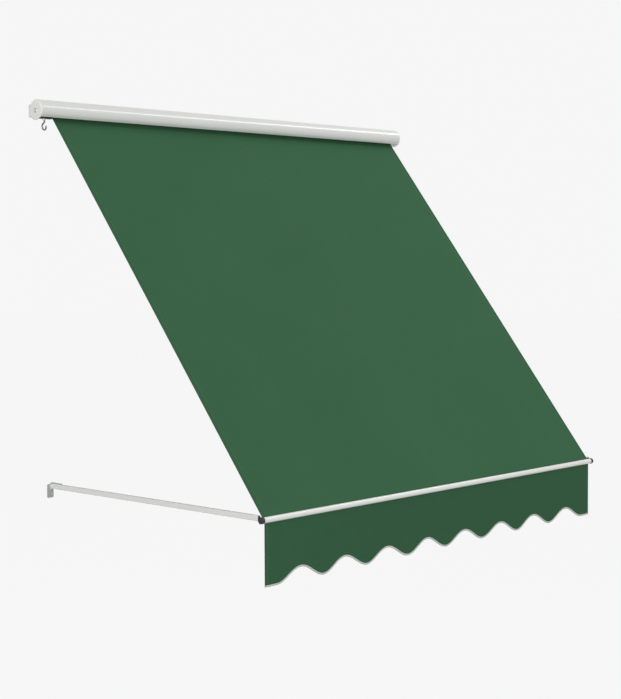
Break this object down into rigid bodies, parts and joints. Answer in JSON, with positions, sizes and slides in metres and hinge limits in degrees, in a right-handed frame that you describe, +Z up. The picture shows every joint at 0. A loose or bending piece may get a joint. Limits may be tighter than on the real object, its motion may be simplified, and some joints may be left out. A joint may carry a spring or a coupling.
{
  "type": "drop-arm awning",
  "caption": "Manual drop-arm awning: cloth sheet from a hooded wall roller to a front bar on hinged arms, with a scalloped valance and a crank-driven worm gear.",
  "frame": {"origin": "on the wall face, midway between the roller end caps, level with the roller axis", "axes": "+X along the wall, +Y into the wall, +Z up; the awning stands out towards -Y"},
  "size_m": [2.003, 1.094, 1.611],
  "materials": {
    "white_coat": "white powder coat",
    "cap_plastic": "moulded, fine texture",
    "grey_coat": "light grey powder coat",
    "bracket_coat": "mid grey powder coat",
    "zinc_steel": "zinc plated",
    "dark_steel": "dull grey steel",
    "gear_brass": "machined",
    "black_plastic": "moulded, fine texture",
    "nylon": "natural nylon",
    "canopy_cloth": "coated polyester canvas, plain weave",
    "binding_tape": "woven edge tape"
  },
  "bodies": {
    "wall_frame": {"hood": "white_coat", "end_cap_left": "cap_plastic", "end_cap_right": "cap_plastic", "roller_bracket_left": "grey_coat", "roller_bracket_right": "grey_coat", "gear_bolt": "zinc_steel", "idler_axle": "dark_steel", "idler_nut": "zinc_steel", "gear_case": "black_plastic", "gear_cover": "black_plastic", "gear_screw_upper": "zinc_steel", "gear_screw_lower": "zinc_steel", "arm_bracket_left": "bracket_coat", "arm_bracket_right": "bracket_coat", "pivot_bolt_left": "grey_coat", "pivot_bolt_right": "grey_coat", "pivot_nut_left": "zinc_steel", "pivot_nut_right": "zinc_steel"},
    "left_arm": {"arm_tube_left": "grey_coat", "arm_root_left": "grey_coat", "bar_knuckle_left": "black_plastic"},
    "right_arm": {"arm_tube_right": "grey_coat", "arm_root_right": "grey_coat", "bar_knuckle_right": "black_plastic"},
    "front": {"front_bar": "white_coat", "bar_plug_left": "nylon", "bar_plug_right": "nylon", "canopy_cord": "nylon", "valance_cord": "nylon", "valance": "canopy_cloth", "valance_binding": "binding_tape"},
    "cloth": {"canopy": "canopy_cloth"},
    "roller": {"roller_tube": "zinc_steel", "drive_plug": "black_plastic", "idler_plug": "black_plastic", "idler_bush": "nylon", "roller_cord": "nylon", "cloth_roll": "canopy_cloth", "worm_wheel": "gear_brass"},
    "crank": {"worm_shaft": "zinc_steel", "crank_eye": "dark_steel"}
  },
  "joints": [
    {"name": "left_arm_lift", "type": "hinge", "parent": "wall_frame", "child": "left_arm", "pos_m": [-0.9293, -0.03, -1.3474], "axis": [-1, 0, 0], "range_deg": [0, 87], "deforming": ["canopy"]},
    {"name": "right_arm_lift", "type": "hinge", "parent": "wall_frame", "child": "right_arm", "pos_m": [0.9923, -0.03, -1.3474], "axis": [-1, 0, 0], "range_deg": [0, 87]},
    {"name": "bar_level", "type": "hinge", "parent": "left_arm", "child": "front", "pos_m": [-0.9293, -1.083, -1.354], "axis": [-1, 0, 0], "range_deg": [-87, 0]},
    {"name": "cloth_swing", "type": "hinge", "parent": "wall_frame", "child": "cloth", "pos_m": [0, -0.02749, -0.01141], "axis": [-1, 0, 0], "range_deg": [-26.23, 0]},
    {"name": "roller_turn", "type": "hinge", "parent": "wall_frame", "child": "roller", "pos_m": [0, -0.042, 0], "axis": [1, 0, 0], "range_deg": [0, 4176]},
    {"name": "crank_turn", "type": "hinge", "parent": "wall_frame", "child": "crank", "pos_m": [-0.971, -0.05475, 0], "axis": [0, 0, 1], "range_deg": [0, 45936]}
  ],
  "couplings": [
    {"joint": "right_arm_lift", "follows": "left_arm_lift", "ratio": 1},
    {"joint": "bar_level", "follows": "left_arm_lift", "ratio": -1},
    {"joint": "cloth_swing", "follows": "left_arm_lift", "ratio": -0.30139},
    {"joint": "roller_turn", "follows": "left_arm_lift", "ratio": 48},
    {"joint": "crank_turn", "follows": "left_arm_lift", "ratio": 528}
  ]
}
